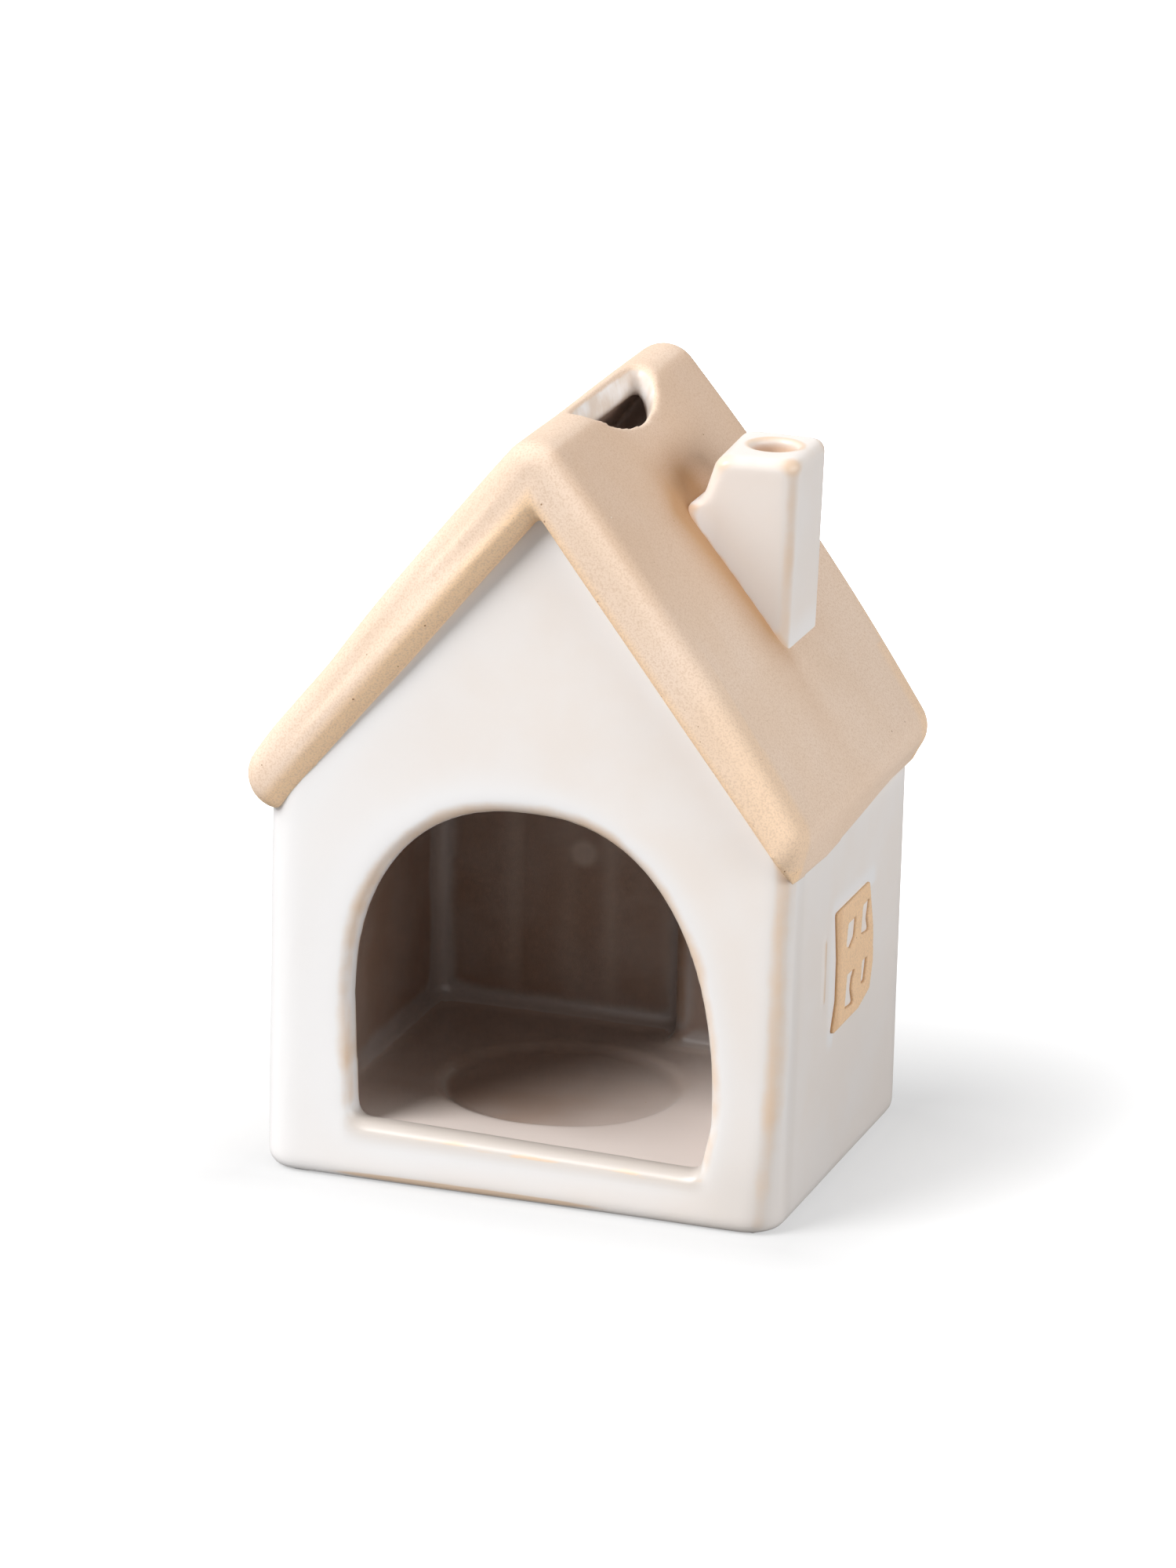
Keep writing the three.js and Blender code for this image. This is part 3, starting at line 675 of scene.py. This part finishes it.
def clay_material(name, body, light, dark, flashed):
    """Bare clay: slow shifts of tone, a fine sand grain, dark and pale specks, the yellower tan and the
    brown that the fire leaves near glaze, with painted shade in that brown in places, and glaze in the vent
    and on the ceiling."""
    burn_and_shade_brown, iron, bled_iron = (0.50, 0.27, 0.12), (0.38, 0.22, 0.12), (0.33, 0.15, 0.07)
    slag, pale_sand, deep_in = (0.16, 0.07, 0.04), (0.94, 0.88, 0.80), (0.36, 0.26, 0.21)
    made, tree, shader = material(name)
    colour = mix(tree, ramp(tree, waves(tree, 14), 0.35, 0.68), body, light)
    colour = mix(tree, measured(tree, "flash"), colour, flashed)
    sand = maths(tree, "MULTIPLY", ramp(tree, waves(tree, 0.3, 2), 0.42, 0.68), 0.6)
    colour = mix(tree, sand, colour, dark)
    colour = mix(tree, measured(tree, "scorch_and_shade"), colour, burn_and_shade_brown)
    colour = mix(tree, add_specks(tree, 2.2, 0.20, 0.35), colour, iron)
    gathered = maths(tree, "MULTIPLY", add_specks(tree, 1.3, 0.22, 0.35), measured(tree, "flash"))
    colour = mix(tree, gathered, colour, bled_iron)
    colour = mix(tree, add_specks(tree, 6.0, 0.32, 0.14), colour, slag)
    colour = mix(tree, add_specks(tree, 3.0, 0.20, 0.2), colour, pale_sand)
    ragged = maths(tree, "ADD", measured(tree, "depth"), maths(tree, "MULTIPLY", waves(tree, 3.5), 0.5))
    glazed = ramp(tree, ragged, 0.85, 1.45)
    glaze = mix(tree, ramp(tree, waves(tree, 6), 0.4, 0.7), (0.72, 0.61, 0.52), (0.87, 0.84, 0.82))
    colour = mix(tree, glazed, colour, glaze)
    colour = mix(tree, ramp(tree, ragged, 4.4, 5.8), colour, deep_in)
    tree.links.new(colour, shader.inputs["Base Color"])
    tree.links.new(maths(tree, "MULTIPLY_ADD", glazed, -0.55, 0.88), shader.inputs["Roughness"])
    roughen(tree, shader, waves(tree, 0.5, 4), 0.35, 0.12)
    return made


bare_clay = clay_material("bare clay", (0.83, 0.645, 0.50), (0.85, 0.675, 0.54), (0.685, 0.49, 0.345),
                          (0.93, 0.66, 0.42))
roof.data.materials.append(bare_clay)


# The chimney
# A hand-built stack in the walls' glaze, scribed to the right slope, with a small round flue.
# Its left side runs out in a toe of clay, and the roof's clay around its foot is burnt brown, darkened
# further by painted shade.

stack_x, stack_y, stack_width, stack_depth, stack_drop = 26.85, 5.55, 12.9, 16.7, 7.2
stack_batter, stack_lean, stack_turn = 0.32, 0.03, math.tan(math.radians(8.5))
tip_x, toe_height, stack_round = 15.9, 2.6, 2.0
flue_y, flue_radius, mouth = 5.6, 3.6, 0.9
stack_top, stack_foot = ridge - stack_drop, nose.y
tip_z = crest.y + (roof_radius + roof_swell + slope_run.y * tip_x) / slope_run.x


def stack_left(z):
    """The stack's left side spreads as it falls, and runs out to the toe's tip at its foot."""
    spread_at_tip = stack_x - stack_width / 2 - stack_batter * (stack_top - tip_z) - tip_x
    toe = fade(z, tip_z + toe_height, tip_z) ** 2
    return stack_x - stack_width / 2 - stack_batter * (stack_top - z) - spread_at_tip * toe


def stack_right(z):
    return stack_x + stack_width / 2 - stack_lean * (stack_top - z)


def stack_ring(z, inset):
    left, right = float(stack_left(z)), stack_right(z)
    radius = 2.6 - 1.6 * min(1, (stack_top - z) / (stack_top - stack_foot)) - inset
    low, high = stack_y - stack_depth / 2 + inset, stack_y + stack_depth / 2 - inset
    bulge = 1.2 * max(0, 1 - (stack_top - z) / 7)
    outline = rounded([(left + inset, low), (right - inset, low), (right - inset, high),
                       (left + inset - bulge, high)], max(radius, 0.2), 6)
    return [(x, y - (stack_turn * (right - x) if y < stack_y else 0), z) for x, y in outline]


heights = [(stack_foot, 0)] + [(tip_z + toe_height * i / 6, 0) for i in range(7)]
heights += [(stack_top - stack_round * (1 - math.sin(a)), stack_round * (1 - math.cos(a)))
            for a in quarter(12)]
chimney = loft("chimney", [stack_ring(z, inset) for z, inset in heights])
bed = roof_section(0.6, (0, 0), (0, 0))[:-1]
slope = loft("slope", [[(point.x, y, point.y) for point in bed] for y in (-60, 60)])
profile = [(flue_radius, eave_height)]
profile += [(flue_radius + mouth * (1 - math.cos(a)), stack_top - mouth * (1 - math.sin(a)))
            for a in quarter(12)]
profile += [(flue_radius + mouth, stack_top + 3)]
flue = loft("flue", [[(stack_x + r * math.cos(a), flue_y + r * math.sin(a), z) for a in turns]
                     for r, z in profile])
work(chimney, "DIFFERENCE", slope, flue)
soften(chimney, grain=0.35, rounds=6)

# The glaze is rubbed thin along the front right edge and the flue's lip, and whitest at the foot.
# A coat of clay greys the left side and the front right edge, and painted shade greys the front, most at
# mid-height.
x, y, z = points_of(chimney.data).T
towards = normals_of(chimney.data)
fall = fade(z, stack_top, stack_foot)
from_edge = np.hypot(x - stack_right(z) + 0.5, y - stack_y + stack_depth / 2 - 0.3)
near_edge = near(from_edge, 0, 1.3) * np.clip(1.6 - 1.8 * fall, 0, 1)
from_flue = np.hypot(x - stack_x, y - flue_y)
by_flue = near(from_flue, flue_radius + mouth, 0.5) * (z > stack_top - 2)
glaze_run(chimney.data, 34, 0, 0.9, 0.13 * near_edge + 0.12 * by_flue)
above_roof = z - np.array([roof_height(px) for px in x])
chimney.data.attributes["halo"].data.foreach_set("value", np.clip(0.75 - above_roof / 11, 0, 1))
front_side = np.clip(-towards[:, 1], 0, 1) * fade(x, tip_x + 2, tip_x + 5)
left_side = np.clip(-towards[:, 0], 0, 1) * (z > tip_z + 1)
# Painted shade: the front greys most at mid-height.
film_and_shade = front_side * (0.15 + 0.55 * np.sin(math.pi * 0.9 * fall) ** 1.5)
store(chimney.data, "film_and_shade", np.maximum(film_and_shade, np.maximum(0.45 * near_edge, 0.5 * left_side)))
throat = from_flue < flue_radius + 0.6
store(chimney.data, "bare", throat * fade(z, stack_top - 0.4, stack_top - 1.6))
chimney.data.materials.append(white_glaze)
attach(chimney, "root")
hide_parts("chimney")

# The roof's clay is burnt brown along the stack's front and left, at the toe and by the ridge; by the
# stack's foot and at the toe the brown is partly painted shade.
x, y, z = points_of(roof.data).T
left, right, high = stack_left(z), stack_x + stack_width / 2, stack_y + stack_depth / 2
low = stack_y - stack_depth / 2 - stack_turn * np.clip(right - x, 0, right - left)
away = np.hypot(outside(x, left, right), outside(y, low, high))
by_stack = 0.45 * np.exp(-away / 1.3) + 0.68 * near(away, 0, 7)
by_stack *= np.maximum(fade(y, low + 5, low - 1), 0.2)
by_stack *= np.maximum(fade(x, 36, 30), 0.3)
# Painted shade in part: the dark patch beside the toe.
by_toe = 0.6 * near(x, 14, 3.2) * near(y, 1, 6)
by_ridge = 0.26 * fade(z, 88, 108)
on_slope = (normals_of(roof.data)[:, 0] > 0.55) & (x > 3) & (roof_depth < 2)
scorch_and_shade = on_slope * np.clip(by_stack + by_toe + by_ridge, 0, 0.9)
store(roof.data, "scorch_and_shade", spread(roof.data, scorch_and_shade, 3))


# The window
# A square tile of bare clay pressed on the right wall, its four panes filled with glaze. The
# outlines are in Y and Z.

wall_x = half_width + wall_flare * 36 / eave_height
tile_outline = [(-8.6, 46.0), (-7.1, 38.0), (-7.0, 31.0), (-8.9, 26.0), (4.8, 26.1), (10.6, 27.6),
                (12.1, 32.0), (11.6, 38.0), (9.0, 46.1)]
pane_outlines = [
    [(-3.0, 38.9), (-0.6, 37.9), (1.7, 39.2), (2.2, 42.4), (-2.2, 42.3)],
    [(4.9, 38.4), (9.6, 37.8), (8.4, 40.0), (9.3, 43.2), (5.6, 43.0)],
    [(-2.9, 28.3), (2.2, 27.8), (0.9, 30.6), (1.4, 32.4), (3.2, 33.6), (-2.0, 33.7)],
    [(5.6, 29.9), (8.0, 29.6), (9.2, 33.5), (6.0, 33.6)],
]
tile_grain, tile_wear = 0.22, 3


def plate(name, outline, x0, x1, radius):
    return loft(name, [[(x, *point) for point in rounded(outline, radius, 4)] for x in (x0, x1)])


tile = plate("window", tile_outline, wall_x - 1.5, wall_x + 0.55, 0.5)
for outline in pane_outlines:
    work(tile, "DIFFERENCE", plate("pit", outline, wall_x - 0.5, wall_x + 2, 0.4))
soften(tile, tile_grain, tile_wear)
store(tile.data, "flash", np.ones(len(tile.data.vertices)))
x, y = points_of(tile.data).T[:2]
in_pits, left_edge = fade(x, wall_x + 0.4, wall_x + 0.1), fade(y, -5.2, -7.2)
# Painted shade in the pits, on the panes' sunken sides; a browner tone all over and along the left edge.
store(tile.data, "scorch_and_shade", 0.18 + 0.6 * in_pits + 0.25 * left_edge)
tile.data.materials.append(bare_clay)
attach(tile, "root")
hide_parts("window_frame")

for number, outline in enumerate(pane_outlines, 1):
    pane = plate(f"pane_{number}", outline, wall_x - 1, wall_x + 0.1, 0.4)
    soften(pane, tile_grain, tile_wear)
    glaze_run(pane.data, 8, 20)
    pane.data.materials.append(white_glaze)
    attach(pane, "root")


# The studio
# A white floor that brightens to pure white away from the house, an even pale surround, and three
# soft lamps: the key at the front left, one at the left, and a low fill from the right.

floor_size, floor_tone, floor_glow, glow_rise, surround = 8.0, 0.34, 0.505, 8.2, 0.2
floor = bpy.data.objects.new("floor", bpy.data.meshes.new("floor"))
corners = [(-floor_size, -floor_size, 0), (floor_size, -floor_size, 0), (floor_size, floor_size, 0),
           (-floor_size, floor_size, 0)]
floor.data.from_pydata(corners, [], [(0, 1, 2, 3)])
scene.collection.objects.link(floor)
made, tree, shader = material("floor")
shader.inputs["Base Color"].default_value = (floor_tone, floor_tone, floor_tone, 1)
shader.inputs["Roughness"].default_value = 1
shader.inputs["Specular IOR Level"].default_value = 0
# The glow rises with the distance beyond the house's box, and only the camera sees it.
seen = node(tree, "LightPath").outputs["Is Camera Ray"]
place = node(tree, "TexCoord").outputs["Object"]
beyond = node(tree, "VectorMath", {0: place}, operation="ABSOLUTE").outputs[0]
beyond = node(tree, "VectorMath", {0: beyond, 1: cad_high}, operation="SUBTRACT").outputs[0]
beyond = node(tree, "VectorMath", {0: beyond, 1: (0, 0, 0)}, operation="MAXIMUM").outputs[0]
beyond = node(tree, "VectorMath", {0: beyond}, operation="LENGTH").outputs["Value"]
glow = maths(tree, "MULTIPLY_ADD", beyond, glow_rise, floor_glow)
shader.inputs["Emission Color"].default_value = (1, 1, 1, 1)
tree.links.new(maths(tree, "MULTIPLY", seen, glow), shader.inputs["Emission Strength"])
floor.data.materials.append(made)
floor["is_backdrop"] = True

# The surround is white where it is seen or mirrored, and dimmer as a light.
world = bpy.data.worlds.new("surround")
scene.world = world
world.use_nodes = True
tree = world.node_tree
path = node(tree, "LightPath")
plain = maths(tree, "MAXIMUM", path.outputs["Is Camera Ray"], path.outputs["Is Glossy Ray"])
plain = maths(tree, "MAXIMUM", plain, path.outputs["Is Transmission Ray"])
background = tree.nodes["Background"]
background.inputs["Color"].default_value = (1, 1, 1, 1)
tree.links.new(maths(tree, "MULTIPLY_ADD", plain, 1 - surround, surround), background.inputs["Strength"])


def add_lamp(name, energy, width, turn, rise):
    """A sun of the given strength and width in degrees, turn degrees right of the doorway and rise
    degrees up."""
    lamp = bpy.data.lights.new(name, "SUN")
    lamp.energy = energy
    lamp.angle = math.radians(width)
    turn, rise = math.radians(turn), math.radians(rise)
    placed = bpy.data.objects.new(name, lamp)
    placed.location = (math.sin(turn) * math.cos(rise), -math.cos(turn) * math.cos(rise), math.sin(rise))
    placed.rotation_euler = placed.location.to_track_quat("Z", "Y").to_euler()
    scene.collection.objects.link(placed)


add_lamp("key", 3.03, 31, -41, 40)
add_lamp("side", 1.1, 50, -80, 46)
add_lamp("fill", 2.9, 60, 82, 4)
scene.view_settings.view_transform = "Standard"

low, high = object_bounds()
